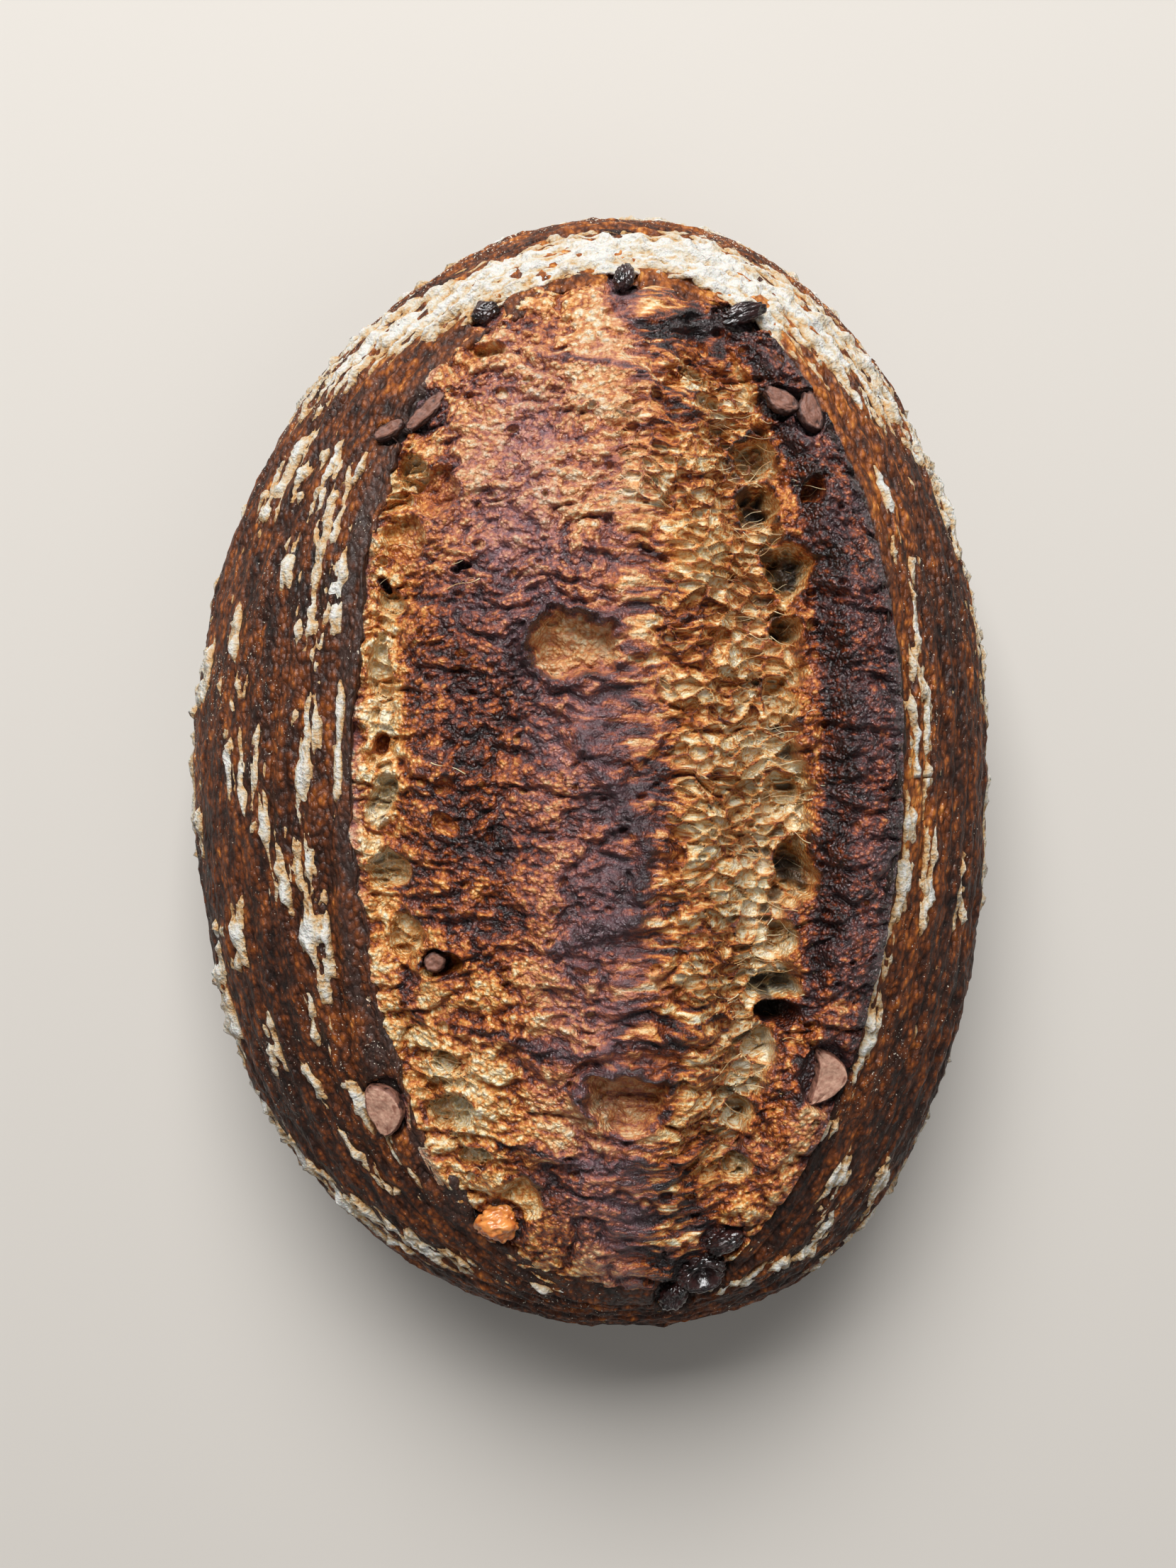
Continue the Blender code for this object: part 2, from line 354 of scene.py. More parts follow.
def crust_places(angle, ring):
    """Where each corner of the plain tube goes, by its angle and the number of its ring."""
    places = np.zeros((len(angle), 3))
    foot = ring < FOOT_RINGS
    turn = ring / FOOT_RINGS * np.pi / 2
    x, y = loaf_outline(angle, BASE_SHARE + (1 - BASE_SHARE) * np.sin(turn))
    rounded = np.column_stack([x, y, WAIST_HEIGHT * (1 - np.cos(turn))])
    places[foot] = rounded[foot]
    shoulder = (ring >= FOOT_RINGS) & (ring < FOOT_RINGS + SHOULDER_RINGS)
    share = (ring[shoulder] - FOOT_RINGS) / SHOULDER_RINGS
    places[shoulder] = shoulder_place(angle[shoulder], share)
    for i, (share, rise) in enumerate(zip(LIP_SHARES, LIP_RISES)):
        lip = ring == FOOT_RINGS + SHOULDER_RINGS + i
        edge = angle[lip]
        x, y = score_outline(edge, share - torn_edge(edge) * i / (len(LIP_SHARES) - 1))
        standing = ear(edge)
        ragged = 1 + 0.6 * lumps(np.column_stack([edge * 14, edge * 0, edge * 0]), 1.0, 8)
        lift = EAR_SWELL * standing + (LIP_HEIGHT + EAR_LIP_HEIGHT * standing) * rise * ragged
        places[lip] = np.column_stack([x, y, dome(x, y) + lift])
    tucked = ring >= CRUST_RINGS
    x, y = score_outline(angle[tucked], TUCKED_SHARE)
    places[tucked] = np.column_stack([x, y, np.full(tucked.sum(), TUCKED_HEIGHT)])
    return places


tube = bmesh.new()
bmesh.ops.create_cone(
    tube, cap_ends=True, cap_tris=False, segments=SPOKES, radius1=1.0, radius2=1.0, depth=1.0
)
uprights = [edge for edge in tube.edges if abs(edge.verts[0].co.z - edge.verts[1].co.z) > 0.5]
bmesh.ops.subdivide_edges(tube, edges=uprights, cuts=CRUST_RINGS - 1, use_grid_fill=False)
crust = bpy.data.meshes.new("crust")
tube.to_mesh(crust)
tube.free()

plain = corners_of(crust)
spoke_angle = np.arctan2(plain[:, 1], plain[:, 0])
ring_number = np.rint((plain[:, 2] + 0.5) * CRUST_RINGS).astype(int)
bare = crust_places(spoke_angle, ring_number)
move_corners(crust, bare)
push = outward(crust)

shoulder_share = np.minimum((ring_number - FOOT_RINGS) / SHOULDER_RINGS, 1.05)
above_waist = ring_number > FOOT_RINGS
loose = smooth(0, 8, ring_number) * smooth(CRUST_RINGS + 1, CRUST_RINGS - 3, ring_number)


def coil(angle, share):
    """The basket's coil ridges, fading in and out round the loaf."""
    winding = np.cos(2 * np.pi * (COILS * share + 0.6 * np.sin(2 * angle)))
    around = np.column_stack([np.cos(angle), np.sin(angle), share])
    return winding * (0.55 + 0.45 * lumps(around, (0.5, 0.5, 0.3), 3))


def crust_relief(places, angle, share, blistered=1.0):
    """How far the crust stands out of the smooth loaf: hills, coil ridges, streaks and blisters."""
    drawn = np.column_stack([angle * 14.0, share * 34.0, np.zeros(len(angle))])
    relief = 0.0009 * rough(places, 0.030, 3, 11)
    relief += 0.00045 * coil(angle, share) * smooth(0.0, 0.2, share)
    fine = 0.00060 * rough(drawn, 1.0, 3, 21) + 0.00065 * (0.55 - beads(places, BLISTER, 31)[0])
    return relief + blistered * (fine + 0.00035 * rough(places, 0.004, 2, 12))


def round_inclusions(x, y):
    """1 close round and under the nuts and raisins, 0 away from them."""
    close = np.zeros(len(x))
    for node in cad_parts:
        if node != "loaf":
            low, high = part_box(node)
            middle, half = (low + high) / 2, (high - low) / 2
            out = np.hypot((x - middle.x) / (half.x + 0.0006), (y - middle.y) / (half.y + 0.0006))
            close = np.maximum(close, smooth(1.30, 0.98, out))
    return close


relief = crust_relief(bare, spoke_angle, shoulder_share)
in_socket = round_inclusions(bare[:, 0], bare[:, 1]) * (bare[:, 2] > 0.05)
relief -= SOCKET_DEPTH * in_socket
move_corners(crust, bare + push * (relief * loose)[:, None])

drawn = np.column_stack([spoke_angle * 14.0, shoulder_share * 40.0, np.zeros(len(spoke_angle))])
streak = rough(drawn, 1.0, 3, 21)
blister_near, _, blister_own = beads(bare, BLISTER, 31)
SHOULDER_RUN = 0.060
to_lip = (1 - shoulder_share) * SHOULDER_RUN
patchy = rough(bare, (0.011, 0.018, 0.011), 3, 51)
# The crust's own patchy and streaked browning, plus paler raised blister tops and darker crevices between
# them as painted light and painted shade; each blister also gets its own random tone below.
toast_and_shade = 0.50 + 0.19 * patchy + 0.26 * streak - 0.30 * (0.5 - blister_near)
toast_and_shade += 0.20 * (blister_own - 0.5)
sunny = smooth(0.1, 0.7, np.cos(spoke_angle - 0.7)) * smooth(0.55, 0.85, shoulder_share)
toast_and_shade -= 0.16 * sunny + 0.16 * smooth(0.5, 0.9, np.sin(spoke_angle))
toast_and_shade += 0.12 * smooth(0.036, 0.012, bare[:, 2])
burnt = smooth(0.0026, 0.0006, to_lip) * (0.12 + 0.88 * ear(spoke_angle)) * above_waist
# Darker in the sockets round the nuts and raisins: painted shade; darker at the burnt lip: the crust's own.
note(crust, "toast_and_shade", np.clip(toast_and_shade + 0.75 * burnt + 0.5 * in_socket, 0, 1))
left_lip = smooth(0.0042, 0.0010, to_lip) * smooth(0.1, 0.6, -np.cos(spoke_angle)) * above_waist
mauve = 0.40 * left_lip * (0.8 + 0.9 * streak) + 0.25 * burnt
note(crust, "mauve", np.clip(mauve, 0, 1))
sides_left = smooth(0.2, 0.9, -np.cos(spoke_angle)) * smooth(0.26, 0.0, shoulder_share)
ends_far = smooth(0.2, 0.9, np.sin(spoke_angle)) * smooth(0.6, 0.1, shoulder_share)
dust = 0.12 + 0.60 * np.maximum(sides_left, ends_far) + 0.30 * rough(bare, 0.010, 2, 62)
note(crust, "dust", np.clip(dust * (0.35 + 0.65 * smooth(0.015, 0.040, bare[:, 2])), 0, 1))

BAKED_SPECULAR = 0.22
crust_finish = Finish("baked_crust", 0.5, coat=0.25, coat_roughness=0.14, specular=BAKED_SPECULAR)
warped_place = crust_finish.stretched(1.0, 0.62, 1.0)
# Blister cells pale in the middle: painted light on the blister tops and painted shade in the crevices, and
# the same cells give the bump.
blister_shade_and_bump = crust_finish.cells(0.0012, 0.80, warped_place)
grain = crust_finish.noise(0.0009, 5, warped_place)
baked_and_shaded = crust_finish.sums("MULTIPLY_ADD", grain, 0.50, crust_finish.noted("toast_and_shade"))
baked_and_shaded = crust_finish.sums("MULTIPLY_ADD", blister_shade_and_bump, -0.34, baked_and_shaded)
CRUST_BROWNS = [
    (0.05, paint(204, 138, 64)),
    (0.26, paint(154, 84, 28)),
    (0.46, paint(100, 48, 14)),
    (0.70, paint(52, 23, 8)),
    (1.0, paint(20, 9, 5)),
]
browned = crust_finish.ramp(baked_and_shaded, CRUST_BROWNS)
bloomed = crust_finish.mix(
    crust_finish.sums("MULTIPLY", crust_finish.noted("mauve"), 0.62), browned, paint(88, 70, 64)
)
specks = crust_finish.noise(0.00050, 2)
specks = crust_finish.sums("MULTIPLY_ADD", crust_finish.noted("dust"), 0.30, specks)
specks = crust_finish.ramp(specks, [(0.74, (0, 0, 0, 1)), (0.80, (1, 1, 1, 1))])
dusted = crust_finish.mix(specks, bloomed, paint(218, 206, 186))
crust_finish.link(dusted, crust_finish.shader.inputs["Base Color"])
crust_finish.link(crust_finish.spread(grain, 0.45, 0.85), crust_finish.shader.inputs["Roughness"])
crust_height = crust_finish.sums("MULTIPLY_ADD", blister_shade_and_bump, 1.0, grain)
crust_finish.bump(crust_height, 0.0006, 1.0)
settle("crust", crust, crust_finish.material, "crust", "loaf")


# -----------------------------------------------------------------------------------------------
# The open score. The cut spread apart in the oven: the dough inside rose as a mound, stretched into
# beads and fibres, burst here and there, and left a pale valley under the ear. It is made in a far
# and a near length, each a closed slab whose skirt stands inside the crust.
# -----------------------------------------------------------------------------------------------

# What the surface shows, as (x, y, reach across, reach along, how dark from 0 pale to 1 black).
BAKED_AREAS = (
    (-0.008, 0.060, 0.017, 0.028, 0.48),
    (-0.030, 0.004, 0.009, 0.040, 0.66),
    (-0.020, 0.020, 0.020, 0.023, 0.84),
    (-0.018, -0.016, 0.018, 0.022, 0.78),
    (0.004, -0.014, 0.015, 0.018, 0.70),
    (0.002, -0.032, 0.022, 0.008, 0.74),
    (0.018, 0.062, 0.016, 0.018, 0.20),
    (0.012, 0.034, 0.010, 0.010, 0.56),
    (0.022, 0.026, 0.012, 0.030, 0.17),
    (0.024, -0.022, 0.011, 0.040, 0.15),
    (0.020, 0.078, 0.010, 0.010, 0.26),
    (-0.042, 0.002, 0.0044, 0.040, 0.16),
    (-0.036, 0.056, 0.006, 0.016, 0.30),
    (-0.029, 0.048, 0.008, 0.012, 0.56),
    (-0.028, -0.066, 0.009, 0.020, 0.26),
    (-0.020, -0.088, 0.008, 0.010, 0.40),
    (0.002, -0.060, 0.018, 0.011, 0.52),
    (0.000, -0.090, 0.015, 0.010, 0.74),
    (0.024, -0.078, 0.011, 0.016, 0.26),
    (0.024, 0.092, 0.009, 0.006, 0.96),
    (-0.004, 0.094, 0.018, 0.006, 0.46),
)

# Folds where the stretching skin doubled over: (half width, height, points along it).
FOLDS = (
    (
        0.0018, 0.0022,
        ((-0.002, 0.006), (0.006, -0.006), (0.012, -0.017), (0.010, -0.028), (-0.008, -0.035)),
    ),
    (0.0018, 0.0014, ((-0.026, -0.052), (-0.006, -0.056), (0.016, -0.053))),
    (0.0016, 0.0012, ((-0.010, 0.084), (0.010, 0.080), (0.020, 0.070))),
    (0.0018, 0.0014, ((-0.037, -0.042), (-0.033, -0.052), (-0.036, -0.040))),
    (0.0016, 0.0010, ((-0.018, -0.076), (0.004, -0.080), (0.024, -0.076))),
)

# Bubbles that burst: (x, y, reach across, reach along, depth, tone of the inside, height of the rim). A
# near-black inside tone on the deep ones is painted shade.
POCKETS = (
    (-0.0020, 0.0235, 0.0084, 0.0064, 0.0046, 0.30, 0.0030),
    (0.0072, -0.0655, 0.0084, 0.0060, 0.0050, 0.36, 0.0030),
    (-0.0305, 0.0560, 0.0046, 0.0050, 0.0034, 0.52, 0.0005),
    (-0.0372, 0.0462, 0.0052, 0.0046, 0.0036, 0.46, 0.0006),
    (-0.0355, 0.0615, 0.0026, 0.0046, 0.0034, 0.14, 0.0006),
    (-0.0405, 0.0330, 0.0032, 0.0040, 0.0040, 0.20, 0.0006),
    (-0.0412, 0.0370, 0.0014, 0.0014, 0.0050, 0.98, 0.0003),
    (-0.0422, 0.0200, 0.0026, 0.0064, 0.0030, 0.16, 0.0006),
    (-0.0430, 0.0050, 0.0018, 0.0022, 0.0040, 0.60, 0.0005),
    (-0.0420, -0.0060, 0.0036, 0.0056, 0.0034, 0.10, 0.0006),
    (-0.0402, -0.0195, 0.0040, 0.0046, 0.0044, 0.12, 0.0006),
    (-0.0380, -0.0330, 0.0030, 0.0040, 0.0030, 0.22, 0.0005),
    (-0.0238, 0.0402, 0.0013, 0.0011, 0.0030, 1.00, 0.0006),
    (-0.0252, 0.0386, 0.0009, 0.0010, 0.0022, 0.90, 0.0004),
    (-0.0280, -0.0027, 0.0024, 0.0022, 0.0018, 0.56, 0.0007),
    (-0.0272, -0.0100, 0.0022, 0.0024, 0.0018, 0.46, 0.0007),
    (0.0408, -0.0212, 0.0050, 0.0060, 0.0070, 0.24, 0.0010),
    (0.0372, -0.0500, 0.0040, 0.0026, 0.0085, 0.96, 0.0006),
    (0.0325, 0.0628, 0.0038, 0.0050, 0.0060, 0.16, 0.0008),
    (0.0336, 0.0525, 0.0038, 0.0050, 0.0064, 0.16, 0.0008),
    (0.0405, 0.0392, 0.0046, 0.0064, 0.0074, 0.18, 0.0009),
    (0.0400, 0.0270, 0.0036, 0.0032, 0.0060, 0.20, 0.0008),
    (0.0375, 0.0130, 0.0036, 0.0054, 0.0040, 0.10, 0.0008),
    (0.0372, -0.0060, 0.0032, 0.0050, 0.0040, 0.08, 0.0008),
    (0.0378, -0.0340, 0.0034, 0.0040, 0.0040, 0.10, 0.0008),
    (0.0362, -0.0438, 0.0044, 0.0032, 0.0052, -0.05, 0.0006),
    (0.0330, -0.0560, 0.0034, 0.0028, 0.0046, 0.0, 0.0005),
    (-0.0300, -0.0380, 0.0036, 0.0032, 0.0048, 0.44, 0.0014),
    (-0.0275, -0.0700, 0.0048, 0.0036, 0.0036, 0.10, 0.0006),
    (-0.0290, -0.0600, 0.0030, 0.0034, 0.0026, 0.14, 0.0005),
    (-0.0235, -0.0790, 0.0036, 0.0024, 0.0024, 0.12, 0.0005),
    (-0.0150, -0.0880, 0.0042, 0.0040, 0.0026, 0.30, 0.0006),
    (0.0300, -0.0715, 0.0040, 0.0036, 0.0046, 0.02, 0.0008),
    (0.0300, -0.0825, 0.0036, 0.0034, 0.0040, 0.06, 0.0006),
    (0.0445, 0.0560, 0.0022, 0.0040, 0.0060, 0.60, 0.0008),
    (0.0207, 0.0800, 0.0034, 0.0018, 0.0026, 0.10, 0.0005),
    (0.0228, 0.0745, 0.0034, 0.0020, 0.0026, 0.08, 0.0005),
    (0.0262, 0.0690, 0.0030, 0.0022, 0.0030, 0.10, 0.0005),
    (0.0046, 0.0480, 0.0014, 0.0014, 0.0022, 0.75, 0.0004),
    (-0.0205, 0.0860, 0.0042, 0.0024, 0.0030, 0.30, 0.0005),
)

# The smooth swell of the mound and the trough at its left, as (place across the score from -1 to
# 1, half width, height over the dome). The valley has a slope on its left and a torn wall under
# the ear on its right.
WAVES = ((-0.06, 0.42, 0.0052), (-0.86, 0.10, -0.0030))
VALLEY_DEPTH = 0.0078
VALLEY_SLOPE = (0.24, 0.50)
WALL_AT = 0.615
EAR_BAND = (0.69, 0.83)
EAR_BAND_SINK = 0.0030


def across_score(x, y):
    """-1 to 1 from the score's left lip to its right, and -1 to 1 from near to far."""
    x = x - SCORE_CENTRE[0] - SCORE_LEAN * lean(y)
    y = y - SCORE_CENTRE[1]
    n = by_quarter(x, y, SCORE_FULLNESS)
    along = y / np.where(y >= 0, SCORE_REACH[1], SCORE_REACH[3])
    half = np.where(x >= 0, SCORE_REACH[0], SCORE_REACH[2])
    half = half * np.maximum(1e-6, 1 - np.minimum(1, np.abs(along)) ** n) ** (1 / n)
    return np.clip(x / np.maximum(half, 0.002), -1, 1), along


def mound(x, y):
    """The risen score without its texture: its height and how far up on the ear's band it is."""
    across, along = across_score(x, y)
    ends = 1 - np.minimum(1, np.abs(along)) ** 4
    height = sum(rise * np.exp(-(((across - at) / width) ** 2)) for at, width, rise in WAVES)
    flat = np.column_stack([x, y, np.zeros(len(x))])
    jagged = 0.075 * rough(flat, (0.020, 0.011, 1), 2, 141) + 0.050 * rough(flat, 0.0038, 2, 142)
    wall = WALL_AT + jagged
    on_ear = smooth(wall - 0.030, wall + 0.035, across)
    fading = smooth(-0.92, -0.60, along) * smooth(0.98, 0.80, along)
    height -= VALLEY_DEPTH * smooth(*VALLEY_SLOPE, across + 0.3 * jagged) * (1 - on_ear) * fading
    side = np.arctan2(along, across)
    stand = (0.0040 + 0.0030 * ear(side)) * smooth(*EAR_BAND, across + 0.4 * jagged) - EAR_BAND_SINK
    height = height * ends + on_ear * ends * (stand * fading + 0.0016 * ear(side))
    height -= 0.0018 * smooth(0.93, 1.0, np.maximum(np.abs(along), -across))
    return dome(x, y) + height, on_ear * fading


def distance_to_line(x, y, line):
    """Distance from each (x, y) to a chain of straight runs."""
    best = np.full(len(x), 9.0)
    for (ax, ay), (bx, by) in zip(line, line[1:]):
        run_x, run_y = bx - ax, by - ay
        share = np.clip(((x - ax) * run_x + (y - ay) * run_y) / (run_x**2 + run_y**2), 0, 1)
        best = np.minimum(best, np.hypot(x - ax - share * run_x, y - ay - share * run_y))
    return best


def torn_surface(x, y):
    """Height of the torn score, how darkly it baked with painted light and shade, its bloom, its gloss, its
    holes painted dark as painted shade, and its fibres.
    """
    flat = np.column_stack([x, y, np.zeros(len(x))])
    across, along = across_score(x, y)
    drift_x = 0.0026 * rough(flat, 0.011, 3, 101)
    drift_y = 0.0024 * rough(flat, 0.009, 3, 102)
    warped = np.column_stack([x + drift_x, y + drift_y, flat[:, 2]])

    tone = np.full(len(x), 0.50)
    for at_x, at_y, wide, long, dark in BAKED_AREAS:
        out = ((x + drift_x - at_x) / wide) ** 2 + ((y + drift_y - at_y) / long) ** 2
        tone += (dark - tone) * np.exp(-(out**1.5))
    tone += 0.16 * rough(flat, 0.007, 3, 103)

    height, on_ear = mound(x, y)
    in_valley = smooth(0.34, 0.50, across) * (1 - on_ear)
    in_valley *= smooth(-0.80, -0.60, along) * smooth(0.84, 0.68, along)
    # The valley's own pale crumb, darker towards its far part as painted shadow of the ear.
    valley_tone_and_shadow = 0.15 * rough(flat, 0.006, 2, 113) - 0.04 + 0.14 * smooth(0.0, 0.3, along)
    tone += (valley_tone_and_shadow - tone) * in_valley * 0.92
    jag = rough(flat, 0.006, 2, 114)
    band = across + 0.03 * jag
    burnt_and_shaded_ear = smooth(-0.52, -0.36, along + 0.3 * jag)
    # The ear's steep inner wall near black: its burnt crust together with painted shade on the wall; a
    # little paler on its top, and a burnt crest line.
    ear_tone_and_shade = 0.62 + 0.38 * burnt_and_shaded_ear * smooth(0.675, 0.735, band) - 0.16 * smooth(0.81, 0.87, band)
    ear_tone_and_shade += 0.26 * smooth(0.945, 0.975, band)
    tone += (ear_tone_and_shade + 0.10 * rough(flat, 0.005, 2, 115) - tone) * on_ear

    crumpled = rough(warped, (0.0105, 0.0056, 1), 4, 104)
    creased = 1 - np.minimum(1, 3.2 * np.abs(crumpled))
    height += (0.0014 - 0.0020 * creased + 0.0012 * rough(warped, 0.013, 2, 116)) * (1 - 0.6 * in_valley)
    pocket_inside = np.zeros(len(x))
    painted_hole_shade = np.zeros(len(x))
    ragged = 0.30 * rough(flat, 0.0040, 3, 105)
    for at_x, at_y, wide, long, depth, inside, rim in POCKETS:
        out = np.sqrt(((x + drift_x - at_x) / wide) ** 2 + ((y + drift_y - at_y) / long) ** 2) + ragged
        bowl = smooth(1.06, 0.62, out)
        height -= depth * bowl
        one_side = 0.35 + 0.65 * smooth(-0.5, 0.6, (y - at_y) / long - 0.6 * (x - at_x) / wide)
        height += rim * one_side * np.exp(-(((out - 1.14) / 0.12) ** 2))
        # Inside tone: the pale crumb of shallow pockets, and near black in deep ones as painted shade.
        tone += (inside - tone) * smooth(1.06, 0.84, out) * 0.9
        # Rims baked darker, most on the far left side, where the extra darkness is painted shade on the
        # rim's inner wall.
        tone += (0.20 + 120 * rim) * one_side * np.exp(-(((out - 1.10) / 0.11) ** 2))
        pocket_inside = np.maximum(pocket_inside, bowl)
        # Deep pockets are marked to be painted dark: painted shade inside them.
        painted_hole_shade = np.maximum(painted_hole_shade, smooth(0.80, 0.35, out) * smooth(0.0042, 0.0075, depth))
    for width, rise, line in FOLDS:
        off = distance_to_line(x + drift_x, y + drift_y, line)
        height += rise * np.exp(-((off / width) ** 2))
        tone += 0.34 * np.exp(-((off / (0.65 * width)) ** 2))

    plain_tone = tone.copy()

    # Beads on the mound and the ear; drawn-out fibres towards the valley; open cells where it is pale.
    fibrous = smooth(-0.006, 0.016, x) * smooth(0.66, 0.56, across) * (1 - on_ear)
    fibrous = np.clip(fibrous + 0.6 * rough(flat, 0.014, 2, 106) * (fibrous > 0.02), 0, 1)
    pale = smooth(0.36, 0.20, tone)
    bead_near, _, bead_own = beads(warped, (0.0016, 0.0013, 1), 111)
    pulled = warped + np.column_stack([0 * x, 0.0030 * lumps(flat, 0.010, 118), 0 * x])
    fibre_near, _, fibre_own = beads(pulled, (0.0064, 0.0010, 1), 121)
    _, cell_gap, cell_own = beads(warped, (0.0040, 0.0027, 1), 131)
    pit_near, _, pit_own = beads(warped, (0.0060, 0.0052, 1), 151)
    bead = 0.55 - bead_near
    fibre = 0.55 - fibre_near
    wall = smooth(0.24, 0.03, cell_gap)
    pit_size = 0.22 * pit_own
    pit = smooth(pit_size, pit_size * 0.6, pit_near) * (pit_own > 0.70) * (1 - pocket_inside)
    pit_rim = np.exp(-(((pit_near - pit_size * 1.12) / 0.035) ** 2)) * (pit_own > 0.70)
    rise = 0.00085 * bead * (1 - fibrous) + 0.00065 * fibre * fibrous
    rise *= 1 - 0.65 * pocket_inside
    rise += pale * (0.0016 * wall - 0.0016 * (0.3 + cell_own))
    rise += 0.00045 * pit_rim - 0.0011 * pit
    rise += 0.00050 * rough(warped, (0.0026, 0.0014, 1), 3, 107)
    lip = smooth(1.0, 0.95, np.maximum(np.abs(across), np.abs(along)))
    height += rise * lip

    # Paler on the raised bead tops and darker in the crevices between them: painted light and painted
    # shade; each bead's random tone is its own.
    tone -= (1 - fibrous) * (1 - pale) * (0.46 * bead + 0.30 * (bead_own - 0.5))
    tone += fibrous * (1 - 0.7 * pale) * (0.44 * fibre + 0.50 * (fibre_own - 0.5))
    tone += 0.50 * fibrous * (1 - pale) * rough(pulled, (0.0080, 0.0018, 1), 4, 117)
    tone += pale * (0.24 * wall + 0.10 * (cell_own - 0.5))
    # Darker along the sunk crease lines: painted shade in the grooves; darker pit rims and paler pits are
    # the crumb's own.
    tone += 0.26 * (creased - 0.3) * (1 - in_valley) * (1 - on_ear) + 0.22 * pit_rim - 0.12 * pit
    tone = plain_tone + (tone - plain_tone) * (1 - 0.6 * pocket_inside)
    mauve = 0.9 * np.exp(-(((x + 0.014) / 0.014) ** 2 + ((y - 0.058) / 0.030) ** 2))
    mauve = np.maximum(mauve, smooth(-0.55, -0.2, across) * smooth(0.20, -0.10, across) * 0.42)
    mauve = np.maximum(mauve, 0.18 * smooth(0.78, 0.86, band) * on_ear)
    mauve = np.maximum(mauve, 0.7 * smooth(-0.93, -0.98, across))
    mauve = np.clip(mauve * (0.6 + 0.9 * bead_own) + 0.2 * rough(flat, 0.006, 2, 108), 0, 1)
    gloss = np.clip(0.50 + 0.45 * tone + 0.4 * rough(flat, 0.004, 2, 109) - 0.25 * pale, 0, 1)
    # Open cells in the valley are painted dark too: painted shade in them.
    painted_hole_shade = np.clip(painted_hole_shade + 0.8 * in_valley * smooth(0.55, 0.85, cell_own) * smooth(0.1, 0.4, cell_gap), 0, 1)
    close = round_inclusions(x, y)
    height += close * (np.minimum(height - 0.0012, dome(x, y) - 0.0008) - height)
    # Darker round the nuts and raisins: painted shade in their sockets.
    tone += 0.45 * close
    return height, np.clip(tone, 0, 1), mauve, gloss, painted_hole_shade, fibrous


score_finish = Finish("torn_score", 0.4, 0.90, 0.08, subsurface=0.12, specular=BAKED_SPECULAR)
fine = score_finish.noise(0.0005, 3)
fibre = score_finish.noted("fibre")
smooth_part = score_finish.sums("SUBTRACT", 1.0, fibre)
# Small bead cells pale in the middle: painted light on the bead tops and painted shade between them, and
# the same cells give the bump.
small_beads = score_finish.sums("MULTIPLY", score_finish.cells(0.00095, 0.85), smooth_part)
hairs = score_finish.noise(0.0010, 5, score_finish.stretched(0.20, 1.0, 1.0))
hairs = score_finish.sums("MULTIPLY", score_finish.sums("SUBTRACT", hairs, 0.5), fibre)
toasted_and_shaded = score_finish.sums("MULTIPLY_ADD", fine, 0.36, score_finish.noted("toast_and_shade"))
toasted_and_shaded = score_finish.sums("SUBTRACT", toasted_and_shaded, 0.10)
toasted_and_shaded = score_finish.sums("MULTIPLY_ADD", small_beads, -0.30, toasted_and_shaded)
toasted_and_shaded = score_finish.sums("MULTIPLY_ADD", hairs, 1.5, toasted_and_shaded)
SCORE_BROWNS = [
    (0.0, paint(232, 222, 194)),
    (0.15, paint(226, 196, 142)),
    (0.32, paint(212, 144, 70)),
    (0.48, paint(172, 90, 32)),
    (0.64, paint(110, 46, 18)),
    (0.80, paint(58, 21, 12)),
    (1.0, paint(18, 8, 9)),
]
torn_colour = score_finish.ramp(toasted_and_shaded, SCORE_BROWNS)
torn_colour = score_finish.mix(
    score_finish.sums("MULTIPLY", score_finish.noted("mauve"), 0.5), torn_colour, paint(160, 124, 132)
)
# Deep pockets and open cells mixed to dark grey-brown: painted shade inside them.
torn_colour = score_finish.mix(score_finish.noted("painted_hole_shade"), torn_colour, paint(62, 52, 42))
score_finish.link(torn_colour, score_finish.shader.inputs["Base Color"])
sheen = score_finish.spread(score_finish.noted("gloss"), 0.70, 0.30)
score_finish.link(sheen, score_finish.shader.inputs["Roughness"])
score_height = score_finish.sums("MULTIPLY_ADD", small_beads, 1.0, fine)
score_height = score_finish.sums("MULTIPLY_ADD", hairs, 2.0, score_height)
score_finish.bump(score_height, 0.0006, 1.0)

SLAB_COLUMNS = 256
SLAB_ROWS = 370
SLAB_FLOOR = 0.048
HALF_SLAB = {"score_far": 1, "score_near": -1}

